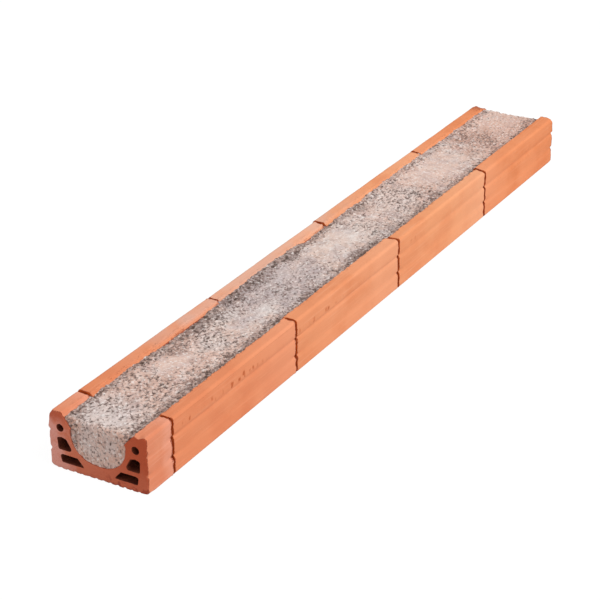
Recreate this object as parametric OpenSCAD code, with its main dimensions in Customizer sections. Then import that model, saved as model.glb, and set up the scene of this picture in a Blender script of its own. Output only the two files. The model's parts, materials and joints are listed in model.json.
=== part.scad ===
// Ceramic lintel. Extruded clay channel shells stand in a row, end to end with open joints,
// and a concrete fill cast in their trough ties them into one beam.
// X runs along the lintel, from the near end to the far end. The bearing face lies on Z = 0,
// and the origin is the middle of that face.

/* [Lintel] */
// Overall length, along X
length = 1000; // [900:5:1200]
// Overall width, along Y
width = 120; // [116:1:150]
// Overall height, along Z
height = 65; // [63:0.5:90]

/* [Shell row] */
// Length of the sawn piece at the near end
near_piece_len = 44; // [30:1:120]
// Length of one full shell
shell_len = 242; // [200:1:250]
// Open gap between neighbouring shells
joint_gap = 2.5; // [1:0.25:6]
// How much further along X each joint lies on the left side than on the right
joint_skew = [2, 2, -1, 18]; // [-20:1:20]

/* [Trough] */
// Thickness of the clay under the trough
trough_floor = 15.5; // [14:0.5:18]
// Width between the trough's side walls
trough_w = 68; // [60:0.5:69]
// Width of the flat middle of the trough's floor
trough_flat = 8; // [4:0.5:16]
// Straight rise of the side walls above the rounded floor
wall_rise = 2.5; // [1:0.5:6]
// How far the lip stands in from the side wall
lip_out = 1.5; // [0.5:0.25:3]
// Height of the lip's slanting underside
lip_rise = 2.5; // [1:0.5:4]
// Width of the trough's mouth, between the wings
mouth_w = 88; // [72:1:96]

/* [Cells] */
// Thickness of the wall outside the side cells
side_wall = 10; // [8:0.5:12]
// Thickness of the wall outside the floor cells
floor_side_wall = 12; // [9:0.5:14]
// Thickness of the wall outside the round cells
round_side_wall = 9.5; // [7:0.5:12]
// Thickness of the wall between the cells and the trough
trough_wall = 6; // [5:0.25:6.5]
// Thickness of the clay under the floor cells
floor_wall = 8; // [6:0.5:9]
// Height of the floor cells
floor_cell_h = 9.5; // [8:0.5:11]
// Width of the solid rib between the two floor cells
rib_w = 39; // [34:1:44]
// Thickness of the web between the floor cells and the side cells
cell_web = 5; // [4:0.5:6]
// Height of the side cells
side_cell_h = 15; // [12:0.5:17]
// Thickness of the web between the side cells and the round cells
round_web = 6; // [4:0.5:7]
// Diameter of the round cells in the wings
round_d = 9; // [6:0.5:10]
// Corner radius of the floor cells and the side cells
cell_corner = 2; // [0.5:0.25:3]
// How far the floor cells and the side cells lean or step at their corners
cell_slant = 1.5; // [0.5:0.25:2.5]

/* [Outside] */
// Number of bands on each side face, parted by grooves
bands = 3; // [2:1:4]
// Depth of the side grooves
groove_depth = 2; // [1:0.25:3]
// Height of the side grooves at their mouth
groove_h = 6; // [4:0.5:8]
// Radius at the root of the side grooves
groove_root_r = 0.8; // [0.25:0.05:1.5]
// Number of flat lands on the bearing face, parted by scallops
lands = 13; // [7:2:15]
// Depth of the scallops in the bearing face
scallop_depth = 0.8; // [0.4:0.1:1.2]
// Radius of the scallops in the bearing face
scallop_r = 3; // [2:0.5:4]
// Radius of the long edges of the bearing face
edge_r = 3; // [1:0.5:4]
// Radius of the wings' outer edges
wing_r = 3.5; // [1:0.5:6]
// Radius of the wings' inner edges
mouth_r = 1.5; // [0.5:0.25:2]

/* [Concrete fill] */
// How far the concrete's top lies below the top of the wings
fill_drop = 3.5; // [2:0.5:6]
// How far the concrete's near end lies inside the lintel's near end
near_recess = 1; // [0.5:0.25:10]
// How far the concrete's far end lies inside the lintel's far end
far_recess = 6; // [0.5:0.25:10]
// Radius of the concrete's top edges at its two ends
fill_edge_r = 3; // [1:0.5:5]
// Depth of the hollows that the float leaves across the concrete's top
hollow_depth = 1.2; // [0.4:0.1:2]
// Length of each hollow
hollow_len = 28; // [16:1:34]
// Distance between the middles of neighbouring hollows
hollow_pitch = 41; // [40:1:80]
// How far a hollow may be turned from square
hollow_skew = 5; // [0:0.5:8]
// How far the banks of concrete against the left wing lie below the top of the wings
bank_drop = 1.5; // [1:0.25:3]
// Width of the banks
bank_w = 26; // [15:1:36]
// Length of the slope at each end of a bank
bank_run = 35; // [10:1:38]
// Distance of each bank's start from the near end
bank_starts = [260, 610]; // [50:5:800]
// Length of each bank
bank_lens = [230, 375]; // [80:5:400]
// Depth of the dips along the left wing
dip_depth = 1.2; // [0.5:0.1:2]
// Length of the slope at each end of a dip
dip_run = 20; // [5:1:28]
// Distance of each dip's start from the near end
dip_starts = [160, 470]; // [50:5:800]
// Length of each dip
dip_lens = [100, 85]; // [60:5:400]

/* [Hidden] */
$fn = 48;

half_len = length / 2;
half_w = width / 2;
shells = len(joint_skew) + 1;
clay_tones = ["#D98672", "#E39270", "#E08A66", "#E3906C", "#DE8A64"];
concrete_tone = "#C6B9AE";

// The trough's rounded floor: its radius, and the centre of its arc on the +Y side
trough_r = (trough_w - trough_flat) / 2;
arc_y = trough_flat / 2;
arc_z = trough_floor + trough_r;
arc_steps = 12;

// The lip's tip, the line from it to the mouth, and the concrete's top edge on that line
lip_y = trough_w / 2 - lip_out;
lip_z = arc_z + wall_rise + lip_rise;
fill_top = height - fill_drop;
slope_run = (mouth_w / 2 - lip_y) / (height - lip_z);
fill_half_w = lip_y + slope_run * (fill_top - lip_z);
fill_near_x = half_len - near_recess;
fill_far_x = half_len - far_recess;
bank_rise = fill_drop - bank_drop;
// Where the banks' slopes start, at the bottom of the hollows, and how deep they are rooted
bank_toe = fill_top - hollow_depth;
bank_root = 5;

// Heights and outer faces of the cells
floor_cell_top = floor_wall + floor_cell_h;
side_cell_bottom = floor_cell_top + cell_web;
side_cell_top = side_cell_bottom + side_cell_h;
round_z = side_cell_top + round_web + round_d / 2;
floor_cell_y = half_w - floor_side_wall;
side_cell_y = half_w - side_wall;
round_y = half_w - round_side_wall - round_d / 2;

land_pitch = (width - 2 * edge_r) / lands;

// How far a cutting shape reaches past what it cuts
past = 1;

// The most of a side that the fillet at one of its ends may take
side_share = 0.45;

// Points of a fillet of radius r at corner b of the path a, b, c
function fillet(a, b, c, r, steps = 4) =
    let (
        to_a = a - b,
        to_c = c - b,
        u = to_a / norm(to_a),
        v = to_c / norm(to_c),
        half_angle = acos(u * v) / 2,
        room = side_share * min(norm(to_a), norm(to_c)),
        back = min(r / tan(half_angle), room),
        radius = back * tan(half_angle),
        centre = b + (u + v) / norm(u + v) * radius / sin(half_angle),
        start = b + u * back - centre,
        end = b + v * back - centre,
        first = atan2(start.y, start.x),
        turn = atan2(end.y, end.x) - first,
        sweep = turn > 180 ? turn - 360 : turn < -180 ? turn + 360 : turn
    )
    r == 0 ? [b] : [
        for (i = [0:steps])
            let (angle = first + sweep * i / steps)
            centre + radius * [cos(angle), sin(angle)]
    ];

// A closed outline with its corners rounded. Each corner is [y, z, radius].
function rounded(corners) = [
    for (i = [0:len(corners) - 1])
        let (
            count = len(corners),
            a = corners[(i + count - 1) % count],
            b = corners[i],
            c = corners[(i + 1) % count]
        )
        each fillet([a.x, a.y], [b.x, b.y], [c.x, c.y], b.z)
];

// The other half of an outline that is the same on both sides of Z
function mirrored(points) = [
    for (i = [len(points) - 1:-1:0]) [-points[i].x, points[i].y, points[i].z]
];

// Corners of one side groove, from its lower edge to its upper edge
function groove(z) = [
    [half_w, z - groove_h / 2, groove_h / 2],
    [half_w - groove_depth, z, groove_root_r],
    [half_w, z + groove_h / 2, groove_h / 2]
];

// The trough on the +Y side, from the tip of the lip down to the middle of the floor
function trough_side() = [
    [lip_y, lip_z, 0],
    [trough_w / 2, lip_z - lip_rise, 0],
    for (i = [0:arc_steps])
        let (angle = -90 * i / arc_steps)
        [arc_y + trough_r * cos(angle), arc_z + trough_r * sin(angle), 0]
];

// The shell's outline on the +Y side, from the middle of the bearing face to the trough's floor
function shell_side() = [
    [half_w, 0, edge_r],
    for (i = [1:bands - 1]) each groove(height * i / bands),
    [half_w, height, wing_r],
    [mouth_w / 2, height, mouth_r],
    each trough_side()
];

// Y of the cells' inner sides at a height: they keep the trough wall's thickness from its arc
function trough_wall_y(z) = arc_y + sqrt(max(0, (trough_r + trough_wall) ^ 2 - (arc_z - z) ^ 2));

// X of a joint's middle line at a place across the width
function joint_x(joint, y) =
    near_piece_len + joint_gap / 2 + joint * (shell_len + joint_gap)
    + joint_skew[joint] * (y + half_w) / width - half_len;

// X of a shell's cut end: side is +1 for its far end and -1 for its near end
function cut_x(shell, side, y) =
    side < 0 && shell == 0 ? -half_len - past :
    side > 0 && shell == shells - 1 ? half_len + past :
    joint_x(side > 0 ? shell : shell - 1, y) - side * joint_gap / 2;

// Lays a section drawn in Y and Z along X, centred on the origin
module along_x(run) {
    translate([-run / 2, 0, 0])
        rotate([90, 0, 90])
            linear_extrude(run)
                children();
}

module both_sides() {
    children();
    mirror([1, 0])
        children();
}

module floor_cell() {
    polygon(rounded([
        [rib_w / 2, floor_wall, cell_corner / 2],
        [floor_cell_y - cell_slant, floor_wall, cell_corner],
        [floor_cell_y, floor_cell_top - cell_slant, cell_corner],
        [floor_cell_y - 2 * cell_slant, floor_cell_top, cell_corner],
        [trough_wall_y(floor_cell_top), floor_cell_top, cell_corner],
        [rib_w / 2, floor_wall + cell_slant, cell_corner / 2]
    ]));
}

// The side cell's roof peaks in the middle between its inner and outer sides
module side_cell() {
    inner_top_y = trough_wall_y(side_cell_top);
    outer_top_y = side_cell_y + cell_slant / 2;
    polygon(rounded([
        [trough_wall_y(side_cell_bottom), side_cell_bottom, cell_corner * 1.5],
        [side_cell_y, side_cell_bottom, cell_corner],
        [outer_top_y, side_cell_top - cell_slant, cell_corner],
        [(inner_top_y + outer_top_y) / 2, side_cell_top, cell_corner],
        [inner_top_y, side_cell_top - cell_slant, cell_corner]
    ]));
}

module round_cell() {
    translate([round_y, round_z])
        circle(d = round_d);
}

module scallops() {
    for (i = [1:lands - 1])
        translate([(i - lands / 2) * land_pitch, scallop_depth - scallop_r])
            circle(r = scallop_r);
}

module shell_section() {
    side = shell_side();
    difference() {
        polygon(rounded(concat(side, mirrored(side))));
        both_sides() {
            floor_cell();
            side_cell();
            round_cell();
        }
        scallops();
    }
}

module fill_section() {
    side = concat([[fill_half_w, fill_top, 0]], trough_side());
    polygon(rounded(concat(side, mirrored(side))));
}

// The concrete seen from the side, with its two top end edges rounded
module fill_elevation() {
    polygon(rounded([
        [-fill_near_x, -past, 0],
        [fill_far_x, -past, 0],
        [fill_far_x, fill_top, fill_edge_r],
        [-fill_near_x, fill_top, fill_edge_r]
    ]));
}

// Lays an outline drawn in X and Z across the whole width
module across_y() {
    translate([0, half_w, 0])
        rotate([90, 0, 0])
            linear_extrude(width)
                children();
}

// Shallow hollows, evenly spaced to both sides of a flat land in the middle.
// Their depth and turn vary a little, as under a float that is moved by hand.
module float_hollows() {
    last_x = min(fill_near_x, fill_far_x) - fill_edge_r - hollow_len / 2;
    for (side = [-1, 1])
        for (x = [hollow_pitch:hollow_pitch:last_x]) {
            depth = hollow_depth * (0.85 + 0.15 * sin(7 * side * x));
            radius = ((hollow_len / 2) ^ 2 + depth ^ 2) / (2 * depth);
            translate([side * x, 0, fill_top - depth + radius])
                rotate([90, 0, hollow_skew * sin(5 * side * x)])
                    cylinder(r = radius, h = width, center = true);
        }
}

// A dip falls towards the left wing and runs out at both ends
module dip(start, run) {
    first = start - half_len;
    fall = dip_depth / bank_w;
    intersection() {
        along_x(length)
            polygon([
                [fill_half_w - bank_w - past, fill_top + fall * past],
                [fill_half_w + past, fill_top - fall * (bank_w + past)],
                [fill_half_w + past, fill_top + past]
            ]);
        across_y()
            polygon([
                [first, fill_top],
                [first + dip_run, fill_top - dip_depth],
                [first + run - dip_run, fill_top - dip_depth],
                [first + run, fill_top],
                [first + run, fill_top + past],
                [first, fill_top + past]
            ]);
    }
}

// A bank rises towards the left wing, follows the wing's slope, and runs out at both ends
module bank(start, run) {
    first = start - half_len;
    last = min(first + run, fill_far_x - fill_edge_r);
    intersection() {
        along_x(length)
            polygon([
                [fill_half_w - bank_w, bank_toe],
                [fill_half_w - slope_run * bank_root, fill_top - bank_root],
                [fill_half_w + slope_run * bank_rise, fill_top + bank_rise]
            ]);
        across_y()
            polygon([
                [first, fill_top - bank_root],
                [last, fill_top - bank_root],
                [last, bank_toe],
                [last - bank_run, fill_top + bank_rise],
                [first + bank_run, fill_top + bank_rise],
                [first, bank_toe]
            ]);
    }
}

module clay_shell(shell) {
    across = half_w + past;
    color(clay_tones[shell])
        intersection() {
            along_x(length)
                shell_section();
            translate([0, 0, -past])
                linear_extrude(height + 2 * past)
                    polygon([
                        [cut_x(shell, -1, -across), -across],
                        [cut_x(shell, 1, -across), -across],
                        [cut_x(shell, 1, across), across],
                        [cut_x(shell, -1, across), across]
                    ]);
        }
}

module concrete_fill() {
    color(concrete_tone) {
        difference() {
            intersection() {
                along_x(length)
                    fill_section();
                across_y()
                    fill_elevation();
            }
            float_hollows();
            for (i = [0:len(dip_starts) - 1])
                dip(dip_starts[i], dip_lens[i]);
        }
        for (i = [0:len(bank_starts) - 1])
            bank(bank_starts[i], bank_lens[i]);
    }
}

for (shell = [0:shells - 1])
    clay_shell(shell);
concrete_fill();
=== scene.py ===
"""Ceramic lintel: five fired-clay channel shells laid end to end and tied by a cast concrete fill.

Each clay shell is the frame's own solid, cut finer, then roughened: broken rims at the joints, a
wavy extruded skin, worn grooves, tears above the upper one, and cells whose dark tone is painted
shade. The fill is floated by hand, so its top is smooth laitance in places, and open and pitted
along the clay. The lintel lies along X, its front is on the -Y side, and it stands on z = 0.
Lengths are in metres.
"""

import json
import logging
import math
from collections.abc import Callable
from dataclasses import dataclass, field
from enum import Enum

import bpy
from mathutils import Matrix, Vector, noise

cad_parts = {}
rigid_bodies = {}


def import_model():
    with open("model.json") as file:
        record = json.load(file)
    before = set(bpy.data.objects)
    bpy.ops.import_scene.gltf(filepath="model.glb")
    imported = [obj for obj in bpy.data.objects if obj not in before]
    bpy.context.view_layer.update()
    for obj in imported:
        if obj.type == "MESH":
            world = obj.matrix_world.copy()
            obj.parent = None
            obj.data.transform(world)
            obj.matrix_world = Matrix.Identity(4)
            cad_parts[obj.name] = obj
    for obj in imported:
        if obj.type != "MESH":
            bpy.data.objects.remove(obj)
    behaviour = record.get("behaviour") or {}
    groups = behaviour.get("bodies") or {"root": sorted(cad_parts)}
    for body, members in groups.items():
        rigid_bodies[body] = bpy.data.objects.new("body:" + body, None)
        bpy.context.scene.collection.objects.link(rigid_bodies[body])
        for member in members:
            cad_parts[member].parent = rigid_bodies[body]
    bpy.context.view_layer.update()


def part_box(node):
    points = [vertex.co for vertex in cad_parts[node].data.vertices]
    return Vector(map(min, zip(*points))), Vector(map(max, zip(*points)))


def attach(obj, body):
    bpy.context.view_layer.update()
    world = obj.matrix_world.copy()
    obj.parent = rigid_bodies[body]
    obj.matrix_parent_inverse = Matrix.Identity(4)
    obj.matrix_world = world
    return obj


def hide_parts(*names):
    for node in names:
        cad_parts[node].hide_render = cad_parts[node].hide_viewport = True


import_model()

MM = 0.001
LOG = logging.getLogger("lintel")

# Points nearer to each other than this are one point.
SAME = 0.001 * MM
# Faces that meet at less than this angle are one flat face.
FLAT = math.radians(0.5)
# How far a unit normal points along an axis where a face looks that way.
FACING = 0.9
# How much of an edge's length lies along the lintel where it runs that way.
RUNNING = 0.8
# How near to a level the middle of a face lies that is flush with it.
FLUSH = 0.1 * MM


# ------------------------------------------------------------------ shared tools


class Push(Enum):
    """The way in which a relief moves a surface."""

    OUT = "NORMAL"
    ALONG = "X"
    ACROSS = "Y"
    UP = "Z"


@dataclass(frozen=True)
class Relief:
    """One layer of unevenness, pressed into a mesh by a Displace modifier."""

    name: str
    grain: float
    height: float
    push: Push = Push.OUT
    zone: str = ""
    contrast: float = 1.0
    middle: float = 0.5
    octaves: int = 2

    def press(self, piece: bpy.types.Object) -> None:
        """Adds the layer to a piece and applies it.

        Args:
            piece: the mesh object to roughen.
        """
        lumps = bpy.data.textures.new(self.name, "CLOUDS")
        lumps.noise_scale = self.grain
        lumps.noise_depth = self.octaves
        lumps.contrast = self.contrast
        layer = piece.modifiers.new(self.name, "DISPLACE")
        layer.texture = lumps
        layer.texture_coords = "LOCAL"
        layer.direction = self.push.value
        layer.strength = self.height
        layer.mid_level = self.middle
        layer.vertex_group = self.zone
        hold(piece)
        bpy.ops.object.modifier_apply(modifier=layer.name)
        bpy.data.textures.remove(lumps)


def shove(piece: bpy.types.Object, group: str, push: Push, amount: float) -> None:
    """Moves a zone of a piece evenly, with a Displace modifier that is applied.

    Args:
        piece: the mesh object.
        group: the vertex group that moves.
        push: the way it moves.
        amount: how far, in metres.
    """
    layer = piece.modifiers.new(group, "DISPLACE")
    layer.direction = push.value
    layer.strength = amount
    layer.mid_level = 0.0
    layer.vertex_group = group
    hold(piece)
    bpy.ops.object.modifier_apply(modifier=layer.name)


def carry(piece: bpy.types.Object, group: str, move: Vector) -> None:
    """Moves a zone of a piece by a vector, one axis after another.

    Args:
        piece: the mesh object.
        group: the vertex group that moves.
        move: the way and the distance, in metres.
    """
    for push, amount in zip((Push.ALONG, Push.ACROSS, Push.UP), move):
        if amount:
            shove(piece, group, push, amount)


def smooth(value: float, start: float, end: float) -> float:
    """Eases from 0 to 1 as a value goes from start to end.

    Args:
        value: the number to place.
        start: where the result is 0.
        end: where the result is 1; it may lie below start.

    Returns:
        The eased share, from 0 to 1.
    """
    share = min(1.0, max(0.0, (value - start) / (end - start)))
    return share * share * (3.0 - 2.0 * share)


@dataclass(frozen=True)
class Fade:
    """A soft edge: a share that eases from 0, where a measure is at none, to 1, where it is at full."""

    none: float
    full: float

    def at(self, measure: float) -> float:
        """Gives the share at a measure."""
        return smooth(measure, self.none, self.full)


def lumpy(place: Vector, grain: float, seed: float = 0.0) -> float:
    """Gives smooth noise with lumps of one size.

    Args:
        place: where it is read, in metres.
        grain: the size of a lump, in metres.
        seed: a shift that gives another pattern.

    Returns:
        A number from about 0 to about 1.
    """
    return 0.5 + 0.5 * noise.noise(place / grain + Vector((seed, seed, seed)))


def hold(piece: bpy.types.Object) -> None:
    """Makes a piece the only selected and the active object."""
    bpy.ops.object.select_all(action="DESELECT")
    piece.select_set(True)
    bpy.context.view_layer.objects.active = piece


def copy_of(node: str, name: str) -> bpy.types.Object:
    """Copies a solid of the frame, with its doubles merged and its flat faces joined.

    Args:
        node: the solid's name.
        name: the new piece's name.

    Returns:
        The new piece, in object mode.
    """
    source = bpy.data.objects[node]
    piece = bpy.data.objects.new(name, source.data.copy())
    piece.data.materials.clear()
    bpy.context.scene.collection.objects.link(piece)
    hold(piece)
    bpy.ops.object.mode_set(mode="EDIT")
    bpy.ops.mesh.select_all(action="SELECT")
    bpy.ops.mesh.remove_doubles(threshold=SAME)
    bpy.ops.mesh.dissolve_limited(angle_limit=FLAT)
    bpy.ops.object.mode_set(mode="OBJECT")
    return piece


def pick(piece: bpy.types.Object, wanted: Callable[[bpy.types.MeshPolygon], bool]) -> None:
    """Selects the faces that a test wants, and nothing else, and enters edit mode.

    Args:
        piece: the active mesh object, in either mode.
        wanted: says of each face whether it is selected.
    """
    bpy.ops.object.mode_set(mode="EDIT")
    bpy.ops.mesh.select_mode(type="FACE")
    bpy.ops.mesh.select_all(action="DESELECT")
    bpy.ops.object.mode_set(mode="OBJECT")
    for face in piece.data.polygons:
        face.select = wanted(face)
    bpy.ops.object.mode_set(mode="EDIT")


def saw(point: Vector, normal: Vector) -> None:
    """Cuts new edges where a plane crosses the shown faces in edit mode, and keeps both sides.

    Args:
        point: a point of the plane.
        normal: the plane's normal.
    """
    bpy.ops.mesh.select_all(action="SELECT")
    bpy.ops.mesh.bisect(plane_co=point, plane_no=normal, threshold=SAME)


def slice_up(axis: int, places: list[float]) -> None:
    """Cuts the shown faces across one axis, at each of some places.

    Args:
        axis: 0 for X, 1 for Y and 2 for Z.
        places: where the cuts lie on that axis.
    """
    for place in places:
        way = Vector((0.0, 0.0, 0.0))
        way[axis] = 1.0
        saw(way * place, way)


def runs_along(start: Vector, end: Vector, shortest: float = 0.0) -> bool:
    """Says whether an edge runs along the lintel, and is longer than a given length."""
    return abs(end.x - start.x) > max(shortest, RUNNING * (end - start).length)


def split_edges(piece: bpy.types.Object, wanted: Callable[[Vector, Vector], bool], cuts: int) -> None:
    """Splits the edges that a test wants, and the faces between them, into equal steps.

    Args:
        piece: the active mesh object, in either mode; it is left in object mode.
        wanted: says of an edge, from its two ends, whether it is split.
        cuts: how many cuts each edge gets.
    """
    bpy.ops.object.mode_set(mode="EDIT")
    bpy.ops.mesh.select_mode(type="EDGE")
    bpy.ops.mesh.select_all(action="DESELECT")
    bpy.ops.object.mode_set(mode="OBJECT")
    points = piece.data.vertices
    for edge in piece.data.edges:
        first, last = edge.vertices
        edge.select = wanted(points[first].co, points[last].co)
    bpy.ops.object.mode_set(mode="EDIT")
    bpy.ops.mesh.subdivide(number_cuts=cuts)
    bpy.ops.object.mode_set(mode="OBJECT")


def steps(start: float, end: float, pitch: float) -> list[float]:
    """Spaces places evenly between two ends, without the ends.

    Args:
        start: the first end.
        end: the second end.
        pitch: the widest spacing.

    Returns:
        The places between the ends.
    """
    count = math.ceil((end - start) / pitch)
    return [start + (end - start) * k / count for k in range(1, count)]


def zone(piece: bpy.types.Object, name: str, weight: Callable[[Vector], float]) -> None:
    """Paints a vertex group from a rule.

    Args:
        piece: the mesh object.
        name: the group's name.
        weight: gives each point's weight, from 0 to 1, from its place.
    """
    group = piece.vertex_groups.new(name=name)
    for point in piece.data.vertices:
        share = weight(point.co)
        if share > 0.0:
            group.add([point.index], min(1.0, share), "REPLACE")


def paint(piece: bpy.types.Object, name: str, amount: Callable[[Vector], float]) -> None:
    """Stores a number on each point of a mesh, for its material to read.

    Args:
        piece: the mesh object.
        name: the attribute's name.
        amount: gives each point's number from its place.
    """
    layer = piece.data.attributes.new(name, "FLOAT", "POINT")
    layer.data.foreach_set("value", [amount(point.co) for point in piece.data.vertices])


# ------------------------------------------------------------------ materials


def linear(code: str) -> tuple[float, float, float, float]:
    """Turns an sRGB hex colour into the linear numbers that a shader takes.

    Args:
        code: the colour, such as "#E79166".

    Returns:
        Red, green, blue and an alpha of 1.
    """
    levels = [int(code[at:at + 2], 16) / 255.0 for at in (1, 3, 5)]
    red, green, blue = (v / 12.92 if v <= 0.04045 else ((v + 0.055) / 1.055) ** 2.4 for v in levels)
    return red, green, blue, 1.0


def add(tree: bpy.types.NodeTree, kind: str, settings: dict, feeds: dict) -> bpy.types.Node:
    """Adds a shader node with its settings, values and links.

    Args:
        tree: the node tree that it joins.
        kind: the node's type, without the ShaderNode at its start.
        settings: the node's own properties by name.
        feeds: a value or an output socket for each input, by the input's name or number.

    Returns:
        The new node.
    """
    node = tree.nodes.new("ShaderNode" + kind)
    for name, value in settings.items():
        setattr(node, name, value)
    for name, value in feeds.items():
        if isinstance(value, bpy.types.NodeSocket):
            tree.links.new(value, node.inputs[name])
        else:
            node.inputs[name].default_value = value
    return node


WHITE = (1.0, 1.0, 1.0, 1.0)
# The numbered sockets of a colour Mix node.
MIX_A, MIX_B, MIX_OUT = 6, 7, 2
# Settings that come again and again: of Math nodes, and of a Map Range node that eases.
PLUS, MINUS, TIMES = ({"operation": name} for name in ("ADD", "SUBTRACT", "MULTIPLY"))
EASED = {"interpolation_type": "SMOOTHSTEP"}


@dataclass(frozen=True)
class Coat:
    """One tone of a material, and the pattern that it follows.

    The tone shows as the pattern goes from the level none to the level full, and most is its largest
    share. With no levels, the pattern itself is the share.
    """

    pattern: bpy.types.NodeSocket
    tone: str
    none: float | bpy.types.NodeSocket | None = None
    full: float | bpy.types.NodeSocket | None = None
    most: float = 1.0


@dataclass
class Palette:
    """A material being mixed: its node tree, and the object coordinates that its patterns read."""

    name: str

    def __post_init__(self) -> None:
        """Starts an empty material."""
        self.material = bpy.data.materials.new(self.name)
        self.material.use_nodes = True
        self.tree = self.material.node_tree
        self.tree.nodes.clear()
        self.place = add(self.tree, "TexCoord", {}, {}).outputs["Object"]

    def grains(self, size: float, detail: float = 2.0, shift: float = 0.0,
               stretch: tuple[float, float, float] = (1.0, 1.0, 1.0)) -> bpy.types.NodeSocket:
        """Lays noise of one grain size.

        Args:
            size: the grain's size in metres.
            detail: how many finer layers it has.
            shift: a shift in metres that gives another pattern.
            stretch: how many times longer a grain is along each axis.

        Returns:
            The noise, from 0 to 1, with its middle at 0.5.
        """
        place = add(self.tree, "Mapping", {}, {
            "Vector": self.place,
            "Location": Vector((shift, shift, shift)) / size,
            "Scale": Vector(1.0 / (size * times) for times in stretch),
        })
        speckle = add(self.tree, "TexNoise", {}, {
            "Vector": place.outputs["Vector"],
            "Scale": 1.0,
            "Detail": detail,
            "Roughness": 0.55,
        })
        return speckle.outputs["Fac"]

    def layered(self, base: str, *coats: Coat) -> bpy.types.NodeSocket:
        """Lays coats over a colour, one after another.

        Args:
            base: the colour below them all.
            coats: the coats, from the lowest to the uppermost.

        Returns:
            The layered colour.
        """
        colour = linear(base)
        for coat in coats:
            share = coat.pattern
            if coat.none is not None:
                share = add(self.tree, "MapRange", EASED, {
                    "Value": coat.pattern, "From Min": coat.none, "From Max": coat.full, "To Max": coat.most,
                }).outputs["Result"]
            colour = add(self.tree, "Mix", {"data_type": "RGBA"}, {
                "Factor": share, MIX_A: colour, MIX_B: linear(coat.tone),
            }).outputs[MIX_OUT]
        return colour

    def finish(self, colour: bpy.types.NodeSocket, height: bpy.types.NodeSocket, depth: float,
               roughness: float, gloss: float) -> bpy.types.Material:
        """Closes the material with its shader.

        Args:
            colour: the mixed colour.
            height: the fine relief, from 0 to 1.
            depth: the height of that relief in metres.
            roughness: the surface's roughness.
            gloss: its specular level.

        Returns:
            The finished material.
        """
        bump = add(self.tree, "Bump", {}, {"Height": height, "Distance": depth, "Strength": 1.0})
        shader = add(self.tree, "BsdfPrincipled", {}, {
            "Base Color": colour,
            "Roughness": roughness,
            "IOR": 1.5,
            "Specular IOR Level": gloss,
            "Normal": bump.outputs["Normal"],
        })
        add(self.tree, "OutputMaterial", {}, {"Surface": shader.outputs["BSDF"]})
        return self.material


@dataclass(frozen=True)
class FiredSkin:
    """Extruded brick clay, fired: a matt, dry, faintly dragged skin whose tone drifts in the kiln.

    The clay's own sand is finer than a millimetre, so it is drawn coarser than that, to show at all.
    """

    name: str
    tone: str
    flushed: str
    dusty: str
    broken: str = "#98452A"
    torn: str = "#BE6034"
    cast_dust: str = "#DDC6BA"
    drift: float = 55 * MM
    drag: float = 2.2 * MM
    drag_stretch: tuple[float, float, float] = (28.0, 1.0, 1.0)
    sand: float = 1.3 * MM
    tear: float = 3.2 * MM
    tear_stretch: tuple[float, float, float] = (1.0, 1.0, 2.6)
    relief: float = 0.25 * MM
    roughness: float = 0.86
    gloss: float = 0.25

    def mix(self) -> bpy.types.Material:
        """Mixes the skin: kiln drift, drag lines, sandy grain, dust of the pour, tears, worn rims, and
        painted shade with dirt along the concrete.
        """
        paint_box = Palette(self.name)
        tree = paint_box.tree
        kiln = paint_box.grains(self.drift, 3.0)
        drag = paint_box.grains(self.drag, 3.0, stretch=self.drag_stretch)
        sand = paint_box.grains(self.sand, 3.0)
        strokes = paint_box.grains(self.tear, stretch=self.tear_stretch)
        worn_and_shaded, torn, faded, floured = (
            add(tree, "Attribute", {"attribute_name": name}, {}).outputs["Fac"]
            for name in ("worn_and_shaded", "torn", "faded", "floured"))
        # Dust of the dry mix lies thinly and unevenly.
        thin = add(tree, "MapRange", EASED, {"Value": kiln, "From Min": 0.2, "From Max": 0.6})
        spilt = add(tree, "Math", TIMES, {0: floured, 1: thin.outputs["Result"]}).outputs[0]
        # A tear shows softly, where the drag strokes and the torn band meet.
        stroked = add(tree, "MapRange", EASED, {"Value": strokes, "From Min": 0.2, "From Max": 0.55})
        caught = add(tree, "Math", TIMES, {0: stroked.outputs["Result"], 1: torn}).outputs[0]
        gritty = add(tree, "Math", MINUS, {0: sand, 1: 0.5}).outputs[0]
        # The worn share also holds painted shade with dirt along the concrete, and the darker far tip.
        ragged = add(tree, "Math", PLUS, {0: worn_and_shaded, 1: gritty}).outputs[0]
        colour = paint_box.layered(
            self.tone,
            Coat(kiln, self.flushed, 0.38, 0.68),
            Coat(faded, self.flushed, 0.5, 0.0, most=0.5),
            Coat(faded, self.dusty, 0.5, 1.0, most=0.6),
            Coat(drag, self.dusty, 0.5, 0.8, most=0.55),
            Coat(sand, self.flushed, 0.6, 0.75, most=0.35),
            Coat(spilt, self.cast_dust),
            Coat(caught, self.torn, 0.03, 0.6, most=0.9),
            Coat(ragged, self.broken, 0.35, 0.75),
        )
        height = add(tree, "Math", PLUS, {0: sand, 1: drag}).outputs[0]
        return paint_box.finish(colour, height, self.relief, self.roughness, self.gloss)


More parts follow.
